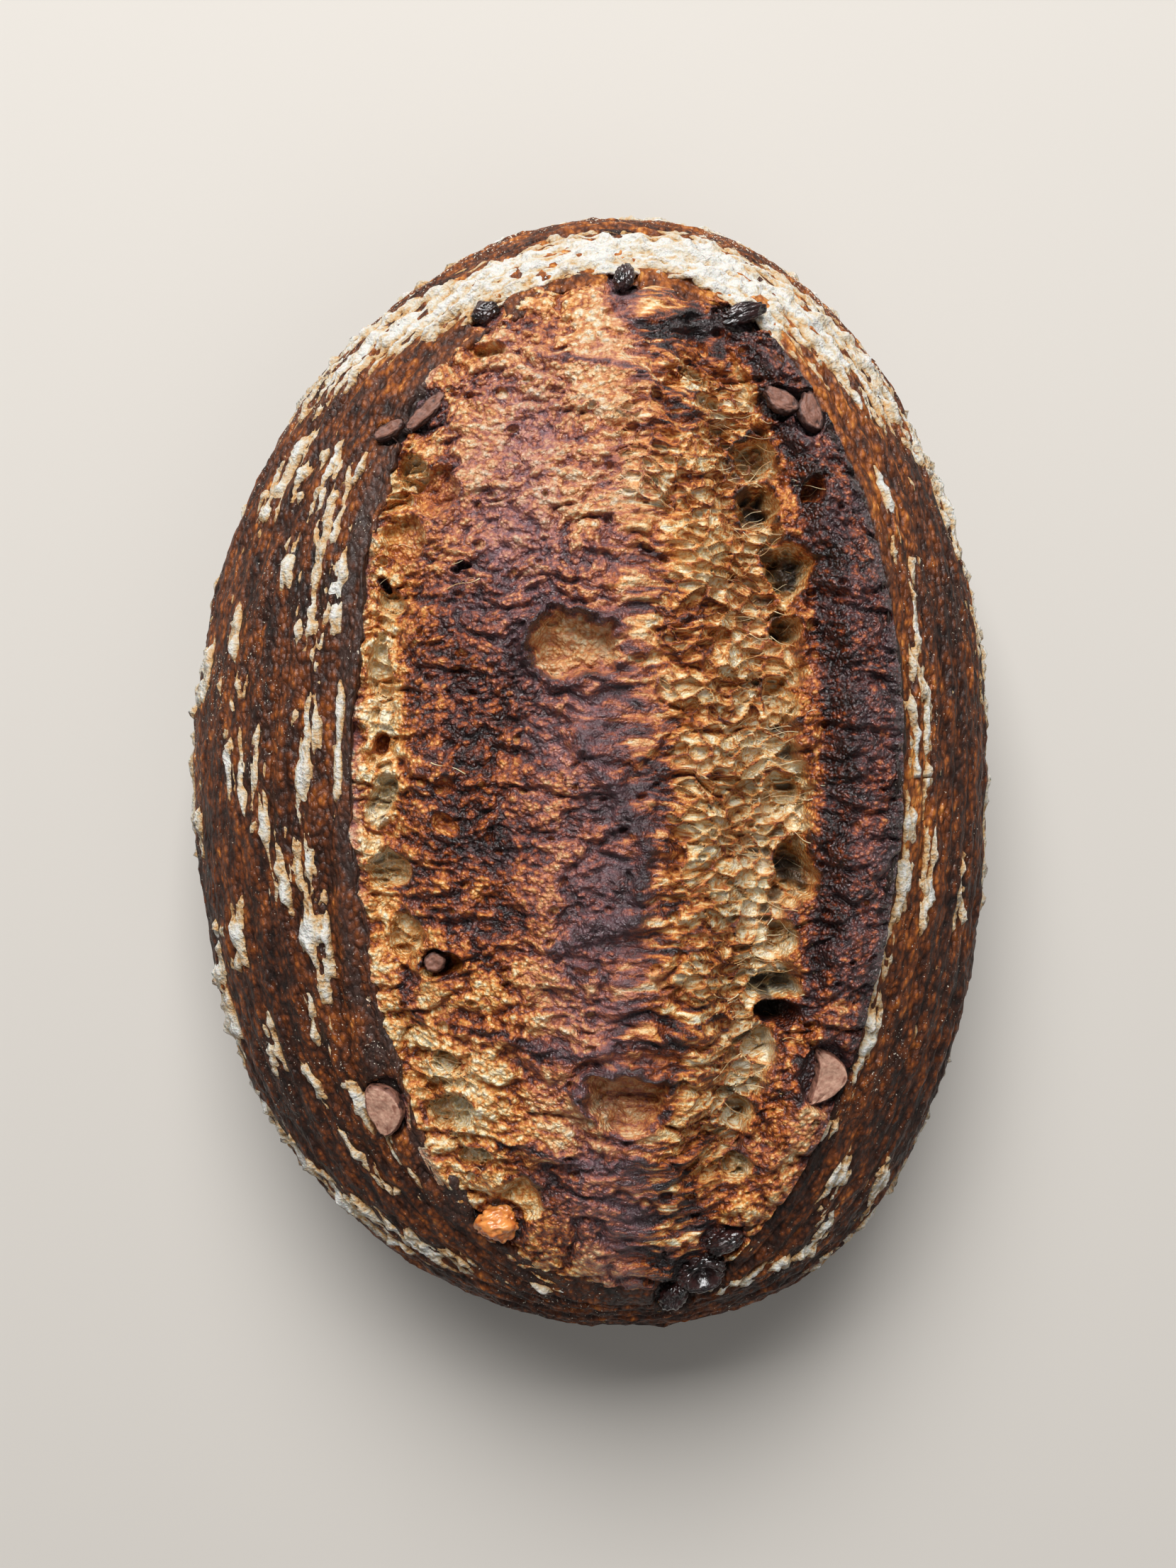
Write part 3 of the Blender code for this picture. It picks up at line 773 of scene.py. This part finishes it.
for slab_name, side in HALF_SLAB.items():
    sheet = bmesh.new()
    bmesh.ops.create_grid(sheet, x_segments=SLAB_COLUMNS, y_segments=SLAB_ROWS, size=1.0)
    rim = [edge for edge in sheet.edges if edge.is_boundary]
    for edge in rim:
        edge.smooth = False
    skirt = bmesh.ops.extrude_edge_only(sheet, edges=rim)["geom"]
    hem = [part for part in skirt if isinstance(part, bmesh.types.BMVert)]
    bmesh.ops.translate(sheet, verts=hem, vec=(0, 0, -1))
    hem_edges = [
        part for part in skirt
        if isinstance(part, bmesh.types.BMEdge) and all(vert.co.z < -0.5 for vert in part.verts)
    ]
    bmesh.ops.contextual_create(sheet, geom=hem_edges)
    bmesh.ops.recalc_face_normals(sheet, faces=sheet.faces)
    slab = bpy.data.meshes.new(slab_name)
    sheet.to_mesh(slab)
    sheet.free()

    square = corners_of(slab)
    u = square[:, 0]
    v = (square[:, 1] + 1) / 2 * side
    disc_x = u * np.sqrt(1 - v * v / 2)
    disc_y = v * np.sqrt(1 - u * u / 2)
    slab_x, slab_y = score_outline(np.arctan2(disc_y, disc_x), np.hypot(disc_x, disc_y))
    slab_z, slab_tone, slab_mauve, slab_gloss, slab_hole_shade, slab_fibre = torn_surface(slab_x, slab_y)
    slab_z = np.where(square[:, 2] < -0.5, SLAB_FLOOR, slab_z)
    move_corners(slab, np.column_stack([slab_x, slab_y, slab_z]))
    if side < 0:
        slab.flip_normals()
    note(slab, "toast_and_shade", slab_tone)
    note(slab, "mauve", slab_mauve)
    note(slab, "gloss", slab_gloss)
    note(slab, "painted_hole_shade", slab_hole_shade)
    note(slab, "fibre", slab_fibre)
    settle(slab_name, slab, score_finish.material, "open_score", "loaf")


# -----------------------------------------------------------------------------------------------
# The flour. Rice flour from the basket caked on the crust while it proved: a broad band round the
# far end and broken streaks along the coil ridges. Each cake is a thin lumpy solid on the crust.
# -----------------------------------------------------------------------------------------------

# Streaks: (angle from, angle to, share up the shoulder from, to, half width in shares).
STREAKS = (
    (142, 121, 0.30, 0.72, 0.19), (124, 100, 0.74, 0.86, 0.15), (104, 78, 0.86, 0.80, 0.17),
    (84, 56, 0.78, 0.76, 0.22), (62, 40, 0.72, 0.54, 0.20), (44, 28, 0.50, 0.24, 0.12),
    (38, 4, 0.20, 0.12, 0.13), (140, 50, 0.02, 0.02, 0.11), (10, -14, 0.12, 0.08, 0.08),
    (144, 154, 0.58, 0.48, 0.06), (147, 153, 0.66, 0.62, 0.05), (146, 157, 0.80, 0.80, 0.04),
    (148, 159, 0.88, 0.86, 0.035), (160, 168, 0.92, 0.93, 0.035), (162, 170, 0.84, 0.86, 0.04),
    (163, 170, 0.46, 0.51, 0.04), (172, 182, 0.50, 0.60, 0.055), (178, 183, 0.67, 0.67, 0.035),
    (175, 183, 0.82, 0.85, 0.035), (175, 181, 0.90, 0.90, 0.025), (174, 180, 0.97, 0.97, 0.020),
    (185, 197, 0.82, 0.86, 0.060), (194, 200, 0.87, 0.86, 0.035), (185, 190, 0.74, 0.74, 0.03),
    (190, 197, 0.53, 0.50, 0.045), (195, 202, 0.36, 0.24, 0.05), (202, 217, 0.79, 0.86, 0.032),
    (203, 209, 0.56, 0.55, 0.035), (200, 213, 0.26, 0.10, 0.09), (211, 227, 0.08, 0.34, 0.12),
    (224, 242, 0.34, 0.66, 0.11), (218, 227, 0.70, 0.78, 0.03), (220, 227, 0.90, 0.93, 0.02),
    (251, 256, 0.97, 0.97, 0.025), (148, 192, 0.03, 0.03, 0.08), (168, 173, 0.30, 0.30, 0.03),
    (183, 189, 0.28, 0.22, 0.03), (157, 162, 0.70, 0.72, 0.025), (208, 214, 0.68, 0.72, 0.02),
    (12, -2, 0.89, 0.93, 0.028), (12, -2, 0.81, 0.85, 0.028), (-5, -17, 0.94, 0.92, 0.035),
    (-6, -16, 0.80, 0.80, 0.035), (-16, -36, 0.97, 0.94, 0.032), (-9, -15, 0.54, 0.52, 0.04),
    (-37, -45, 0.93, 1.00, 0.028), (-44, -52, 0.80, 0.78, 0.04), (-43, -51, 0.52, 0.30, 0.06),
    (-52, -59, 0.68, 0.62, 0.045), (-61, -73, 0.70, 0.82, 0.045), (-24, -44, 0.06, 0.12, 0.08),
    (-44, -62, 0.12, 0.34, 0.08), (22, 14, 0.80, 0.84, 0.02), (33, 25, 0.84, 0.86, 0.02),
)

FLOUR_COLUMNS = 900
FLOUR_ROWS = 112
SHARE_FROM = -0.04
SHARE_TO = 1.0
CAKE_HEIGHT = 0.0012
CAKE_EDGE_SINK = 0.0008
CAKE_THICKNESS = 0.0006
LEAST_COVER = 0.36


def flour_cover(angle, share):
    """How surely flour lies at this place: above 0.5 it does."""
    turned = np.degrees(angle) % 360
    cover = np.zeros(len(angle))
    for start, end, low, high, width in STREAKS:
        middle = (start + end) / 2 % 360
        half = abs(end - start) / 2
        off = (turned - middle + 180) % 360 - 180
        run = np.clip(off / half * (1 if end > start else -1), -1.2, 1.2)
        centre = low + (high - low) * (run + 1) / 2
        out = (np.abs(off) / (half + 1.5)) ** 4 + np.abs((share - centre) / (width * 1.35)) ** 3
        cover = np.maximum(cover, 1 - 0.5 * out)
    return cover


cake = bmesh.new()
bmesh.ops.create_grid(cake, x_segments=FLOUR_COLUMNS, y_segments=FLOUR_ROWS, size=1.0)
flat_grid = np.array([vert.co[:2] for vert in cake.verts])
cake_angle = (flat_grid[:, 0] + 1) * np.pi * (1 - 0.5 / FLOUR_COLUMNS)
cake_share = SHARE_FROM + (SHARE_TO - SHARE_FROM) * (flat_grid[:, 1] + 1) / 2
ground = shoulder_place(cake_angle, np.maximum(0, cake_share))
ground[:, 2] += 0.05 * np.minimum(0, cake_share)
along_coils = np.column_stack([cake_angle * 15, cake_share * 52, cake_share * 0])
ragged = 0.55 * rough(ground, 0.0026, 3, 71) + 0.95 * rough(along_coils, 1.0, 3, 72)
far_band = smooth(0.62, 0.88, np.sin(cake_angle)) * smooth(0.3, 0.5, cake_share)
cover = flour_cover(cake_angle, cake_share) - 0.34 + 0.36 * far_band
cover += 0.3 * smooth(0.62, 0.88, np.sin(cake_angle)) * smooth(0.2, 0.0, cake_share)
cover += ragged * (1 - 0.35 * far_band)
for vert, place in zip(cake.verts, ground):
    vert.co = place
cake.normal_update()
upward = np.array([vert.normal for vert in cake.verts])
lumpy = 0.65 + 1.4 * rough(ground, 0.0026, 3, 73)
cake_height = CAKE_HEIGHT * smooth(0.42, 1.0, cover) * lumpy
cake_height -= CAKE_EDGE_SINK * smooth(0.52, 0.34, cover)
cake_height += crust_relief(ground, cake_angle, cake_share, 0.45)
cover_layer = cake.verts.layers.float.new("cover")
for vert, place, share in zip(cake.verts, ground + upward * cake_height[:, None], cover):
    vert.co = place
    vert[cover_layer] = share
bare_faces = [
    face for face in cake.faces if max(vert[cover_layer] for vert in face.verts) < LEAST_COVER
]
bmesh.ops.delete(cake, geom=bare_faces, context="FACES")


def pinched(vert):
    """Whether two cakes meet at this corner only."""
    return sum(edge.is_boundary for edge in vert.link_edges) > 2


while meeting := [vert for vert in cake.verts if pinched(vert)]:
    bmesh.ops.delete(cake, geom=meeting, context="VERTS")
if sum(face.normal.z for face in cake.faces) < 0:
    bmesh.ops.reverse_faces(cake, faces=cake.faces)
bmesh.ops.solidify(cake, geom=cake.faces, thickness=CAKE_THICKNESS)
flour = bpy.data.meshes.new("flour")
cake.to_mesh(flour)
cake.free()

flour_finish = Finish("caked_flour", 0.95, subsurface=0.1)
powder = flour_finish.noise(0.0009, 5)
lie = flour_finish.sums("MULTIPLY_ADD", powder, 1.1, flour_finish.noted("cover"))
floured = flour_finish.ramp(flour_finish.sums("MULTIPLY", lie, 0.5), [
    (0.44, paint(120, 74, 40)),
    (0.54, paint(190, 148, 96)),
    (0.68, paint(198, 184, 160)),
    (0.84, paint(206, 204, 198)),
])
flour_finish.link(floured, flour_finish.shader.inputs["Base Color"])
flour_finish.bump(powder, 0.0010, 1.0)
settle("flour", flour, flour_finish.material, "flour")


# -----------------------------------------------------------------------------------------------
# Threads of gluten drawn out across the valley and the burst bubbles, thin and dry. Each is a
# closed strand, thicker at both ends, where it grows out of the crumb.
# -----------------------------------------------------------------------------------------------
STRANDS = 220
STRAND_SIDES = 5
STRAND_CUTS = 6
SPACING = 4.0


def drawn_lot(seed, low, high):
    """One settled number for every strand."""
    i = np.arange(STRANDS)
    return low + (high - low) * fixed_number(i, i * 0 + seed, i * 0, 7)


spool = bmesh.new()
bmesh.ops.create_cone(
    spool, cap_ends=True, segments=STRAND_SIDES, radius1=1.0, radius2=1.0, depth=2.0
)
lengthwise = [edge for edge in spool.edges if abs(edge.verts[0].co.z - edge.verts[1].co.z) > 1]
bmesh.ops.subdivide_edges(spool, edges=lengthwise, cuts=STRAND_CUTS)
pattern = list(spool.verts) + list(spool.edges) + list(spool.faces)
for i in range(1, STRANDS):
    copied = bmesh.ops.duplicate(spool, geom=pattern)["geom"]
    fresh = [part for part in copied if isinstance(part, bmesh.types.BMVert)]
    bmesh.ops.translate(spool, verts=fresh, vec=(SPACING * i, 0, 0))
threads = bpy.data.meshes.new("score_threads")
spool.to_mesh(threads)
spool.free()

lot_along = drawn_lot(1, -0.62, 0.78)
lot_across = drawn_lot(2, 0.36, 0.66)
lot_y = SCORE_CENTRE[1] + lot_along * np.where(lot_along > 0, SCORE_REACH[1], SCORE_REACH[3])
lot_half = SCORE_REACH[0] * (1 - np.abs(lot_along) ** 2.3) ** (1 / 2.3)
lot_x = SCORE_CENTRE[0] + SCORE_LEAN * lean(lot_y) + lot_across * lot_half
in_pocket = drawn_lot(3, 0, 1) < 0.15
pocket_of = np.floor(drawn_lot(4, 0, len(POCKETS) - 0.01)).astype(int)
lot_x = np.where(in_pocket, np.array([p[0] for p in POCKETS])[pocket_of], lot_x)
lot_y = np.where(in_pocket, np.array([p[1] for p in POCKETS])[pocket_of], lot_y)
lot_y = lot_y + drawn_lot(5, -0.003, 0.003)
lot_turn = drawn_lot(6, -0.75, 0.75)
lot_reach = drawn_lot(7, 0.0012, 0.0040)
lot_thick = drawn_lot(8, 0.00004, 0.00011)

strand_grid = corners_of(threads)
which = np.rint(strand_grid[:, 0] / SPACING).astype(int)
local_x = strand_grid[:, 0] - SPACING * which
t = strand_grid[:, 2]
run_x = np.cos(lot_turn) * lot_reach
run_y = np.sin(lot_turn) * lot_reach
from_z = torn_surface(lot_x - run_x, lot_y - run_y)[0]
to_z = torn_surface(lot_x + run_x, lot_y + run_y)[0]
girth = lot_thick[which] * (0.7 + 1.1 * t**4)
wriggle = 0.0003 * np.sin(3 * t + which)
strand_x = lot_x[which] + run_x[which] * t - (girth * local_x + wriggle) * np.sin(lot_turn[which])
strand_y = lot_y[which] + run_y[which] * t + (girth * local_x + wriggle) * np.cos(lot_turn[which])
strand_z = from_z[which] * (1 - t) / 2 + to_z[which] * (1 + t) / 2
strand_z += girth * strand_grid[:, 1] - 0.0001 + 0.0003 * (1 - t * t)
move_corners(threads, np.column_stack([strand_x, strand_y, strand_z]))

thread_finish = Finish("gluten_thread", 0.45, coat=0.2, subsurface=0.15)
thread_tone = thread_finish.ramp(thread_finish.noise(0.006, 2), [
    (0.35, paint(230, 212, 172)),
    (0.62, paint(190, 140, 84)),
])
thread_finish.link(thread_tone, thread_finish.shader.inputs["Base Color"])
settle("score_threads", threads, thread_finish.material, "open_score")


# -----------------------------------------------------------------------------------------------
# The nuts. Broken walnut pieces that came to the surface and toasted there: a wrinkled skin, and a
# flat grainy face where the nut broke. Each sits in a socket of crumb that shrank away from it.
# -----------------------------------------------------------------------------------------------

LARGE_NUT = 6

# Nuts: name, x, y, turn in degrees, (length, width, depth, curl), fineness.
NUTS = (
    ("nut_right", 0.0470, -0.0621, 84, (0.0118, 0.0066, 0.0074, 1.15), LARGE_NUT),
    ("nut_left", -0.0427, -0.0694, 108, (0.0112, 0.0076, 0.0066, 0.40), LARGE_NUT),
    ("nut_ear_long", 0.0379, 0.0745, -30, (0.0076, 0.0042, 0.0046, 0.20), 5),
    ("nut_ear_curl", 0.0440, 0.0722, -75, (0.0080, 0.0042, 0.0046, 0.30), 5),
    ("nut_far_long", -0.0336, 0.0731, 45, (0.0120, 0.0028, 0.0036, 0.15), 5),
    ("nut_far_short", -0.0412, 0.0693, 30, (0.0064, 0.0026, 0.0034, 0.10), 5),
    ("nut_in_pocket", -0.0310, -0.0383, 30, (0.0040, 0.0034, 0.0032, 0.10), 4),
)


def ball(fineness):
    """A round of small triangles, and the place of each of its corners."""
    shape = bmesh.new()
    bmesh.ops.create_icosphere(shape, subdivisions=fineness, radius=1.0)
    mesh = bpy.data.meshes.new("ball")
    shape.to_mesh(mesh)
    shape.free()
    return mesh, corners_of(mesh)


SEAT_TILT = 0.5
SEAT_LIFT = 0.0006


def seat(node, x, y, turn, shape):
    """Moves a shape from the origin to where its node sits, turned and tilted half as the dome is."""
    step = 0.002
    spots = np.array([[x + step, y], [x - step, y], [x, y + step], [x, y - step]])
    heights = dome(spots[:, 0], spots[:, 1])
    slope_x = (heights[0] - heights[1]) / (2 * step)
    slope_y = (heights[2] - heights[3]) / (2 * step)
    upright = Vector((-SEAT_TILT * slope_x, -SEAT_TILT * slope_y, 1.0)).normalized()
    tilt = Vector((0.0, 0.0, 1.0)).rotation_difference(upright).to_matrix()
    turned = tilt @ Matrix.Rotation(math.radians(turn), 3, "Z")
    low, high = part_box(node)
    return shape @ np.array(turned).T + np.array((low + high) / 2 + upright * SEAT_LIFT)


nut_finish = Finish("toasted_nut", 0.62, coat=0.05)
nut_grain = nut_finish.noise(0.0009, 4)
nut_tone = nut_finish.sums("MULTIPLY_ADD", nut_grain, 0.55, nut_finish.noted("skin"))
nut_colour = nut_finish.ramp(nut_tone, [
    (0.22, paint(186, 146, 124)),
    (0.45, paint(138, 92, 74)),
    (0.90, paint(52, 28, 22)),
])
nut_finish.link(nut_colour, nut_finish.shader.inputs["Base Color"])
nut_finish.bump(nut_grain, 0.0003, 0.8)

for name, x, y, turn, (length, width, depth, curl), fineness in NUTS:
    nut, plain = ball(fineness)
    bx, by, bz = plain.T
    scaled = plain * (length, width, depth) / 2
    chip = 1 + 0.10 * rough(scaled + length * 50, 0.0040, 2, 201)
    face = 0.42 + 0.10 * lumps(scaled, 0.0022, 202)
    flat = np.minimum(bz, face) + 0.12 * np.maximum(0, bz - face)
    bent = by * (1 - 0.25 * bx * bx) + curl * (bx * bx - 0.35)
    move_corners(nut, np.column_stack([bx * length, bent * width, flat * depth]) * chip[:, None] / 2)
    large = fineness == LARGE_NUT
    deep = 0.00022 if large else 0.00050
    wrinkle = deep * (1 - 2.4 * np.abs(rough(scaled, (0.0026, 0.0013, 0.0013), 3, 203)))
    wrinkle *= 0.45 + 0.55 * smooth(face + 0.05, face - 0.10, bz)
    shaped = corners_of(nut) + outward(nut) * wrinkle[:, None]
    move_corners(nut, seat(name, x, y, turn, shaped))
    creased = smooth(0.1, -0.6, wrinkle / deep)
    toasted_more = 0.04 if large else 0.30
    note(nut, "skin", toasted_more + 0.30 * smooth(face + 0.06, face - 0.05, bz) + 0.45 * creased)
    settle(name + "_piece", nut, nut_finish.material, "nut", name)


# -----------------------------------------------------------------------------------------------
# The raisins. They swelled in the dough, then burnt and shrank where they stood out: dark, sticky
# and creased, and one lump burst open. A single golden one stayed bright.
# -----------------------------------------------------------------------------------------------

# Raisins: name, x, y, turn in degrees, (length, width, depth, hollow), fineness.
RAISINS = (
    ("raisin_horn", 0.0309, 0.0935, 22, (0.0110, 0.0044, 0.0042, 0.0), 5),
    ("raisin_far", 0.0069, 0.1018, 80, (0.0066, 0.0046, 0.0040, 0.0), 5),
    ("raisin_far_left", -0.0218, 0.0949, 25, (0.0060, 0.0048, 0.0040, 0.0), 5),
    ("raisin_burst", 0.0234, -0.1054, 20, (0.0104, 0.0086, 0.0072, 0.75), 6),
    ("raisin_burst_near", 0.0178, -0.1124, 60, (0.0068, 0.0062, 0.0056, 0.30), 5),
    ("raisin_burst_far", 0.0272, -0.0984, 25, (0.0080, 0.0052, 0.0052, 0.0), 5),
    ("raisin_golden", -0.0189, -0.0931, 15, (0.0090, 0.0080, 0.0066, 0.0), 5),
)


def raisin_skin(name, dark, light, roughness_low, roughness_high, subsurface):
    skin = Finish(name, 0.35, coat=0.6, coat_roughness=0.08, subsurface=subsurface)
    cloud = skin.noise(0.0022, 3)
    skin.link(skin.ramp(cloud, [(0.35, dark), (0.65, light)]), skin.shader.inputs["Base Color"])
    skin.link(skin.spread(cloud, roughness_low, roughness_high), skin.shader.inputs["Roughness"])
    skin.bump(skin.noise(0.0007, 3), 0.0002, 0.6)
    return skin.material


RAISIN_SKINS = {
    "raisin": raisin_skin("dark_raisin", paint(12, 7, 7), paint(50, 24, 22), 0.18, 0.40, 0.0),
    "golden_raisin": raisin_skin(
        "pale_raisin", paint(170, 84, 30), paint(224, 146, 74), 0.25, 0.45, 0.2
    ),
}

for name, x, y, turn, (length, width, depth, hollow), fineness in RAISINS:
    raisin, plain = ball(fineness)
    bx, by, bz = plain.T
    folded = np.column_stack([bx * 1.3 + length * 700, by * 2.4, bz * 2.4])
    crease = np.abs(rough(folded, 1.0, 3, 301))
    size = 0.80 + 0.55 * np.minimum(0.45, crease) + 0.14 * lumps(plain + length * 900, 0.9, 302)
    mouth = np.where(bz > 0, hollow * np.exp(-(((bx * bx + by * by) / 0.30) ** 2)), 0)
    shaped = np.column_stack([bx * length * size, by * width * size, (bz * size - mouth) * depth])
    move_corners(raisin, seat(name, x, y, turn, shaped / 2))
    kind = "golden_raisin" if name == "raisin_golden" else "raisin"
    settle(name + "_piece", raisin, RAISIN_SKINS[kind], kind, name)


# -----------------------------------------------------------------------------------------------
# The room: a plain pale floor, a soft window at the far side of the loaf, a pale surround, and a
# camera straight above, as high as a hand holds it.
# -----------------------------------------------------------------------------------------------
ground_shape = bmesh.new()
bmesh.ops.create_grid(ground_shape, x_segments=1, y_segments=1, size=3.0)
ground_mesh = bpy.data.meshes.new("floor")
ground_shape.to_mesh(ground_mesh)
ground_shape.free()
floor_finish = Finish("plain_floor", 0.8)
floor_finish.link(paint(196, 191, 184), floor_finish.shader.inputs["Base Color"])
ground_mesh.materials.append(floor_finish.material)
floor = bpy.data.objects.new("floor", ground_mesh)
bpy.context.scene.collection.objects.link(floor)


def window(name, place, aim, wide, high, power):
    """A soft rectangular lamp that faces the aim."""
    lamp = bpy.data.lights.new(name, "AREA")
    lamp.shape = "RECTANGLE"
    lamp.size = wide
    lamp.size_y = high
    lamp.energy = power
    holder = bpy.data.objects.new(name, lamp)
    holder.location = place
    holder.rotation_euler = (Vector(aim) - Vector(place)).to_track_quat("-Z", "Y").to_euler()
    bpy.context.scene.collection.objects.link(holder)


window("window", (-0.15, 1.15, 1.35), (0, 0, 0.03), 1.2, 0.9, 50)
window("fill", (0.5, -0.8, 1.3), (0, 0, 0.03), 1.0, 1.0, 3.0)

surround = bpy.data.worlds.new("surround")
surround.use_nodes = True
surround.node_tree.nodes["Background"].inputs["Color"].default_value = (1, 1, 1, 1)
surround.node_tree.nodes["Background"].inputs["Strength"].default_value = 0.15
bpy.context.scene.world = surround
bpy.context.scene.view_settings.view_transform = "Standard"

lens = bpy.data.cameras.new("camera")
lens.sensor_width = 36
lens.lens = 36.36
camera = bpy.data.objects.new("camera", lens)
camera.location = (-0.0007, -0.003, 0.400)
bpy.context.scene.collection.objects.link(camera)
bpy.context.scene.camera = camera
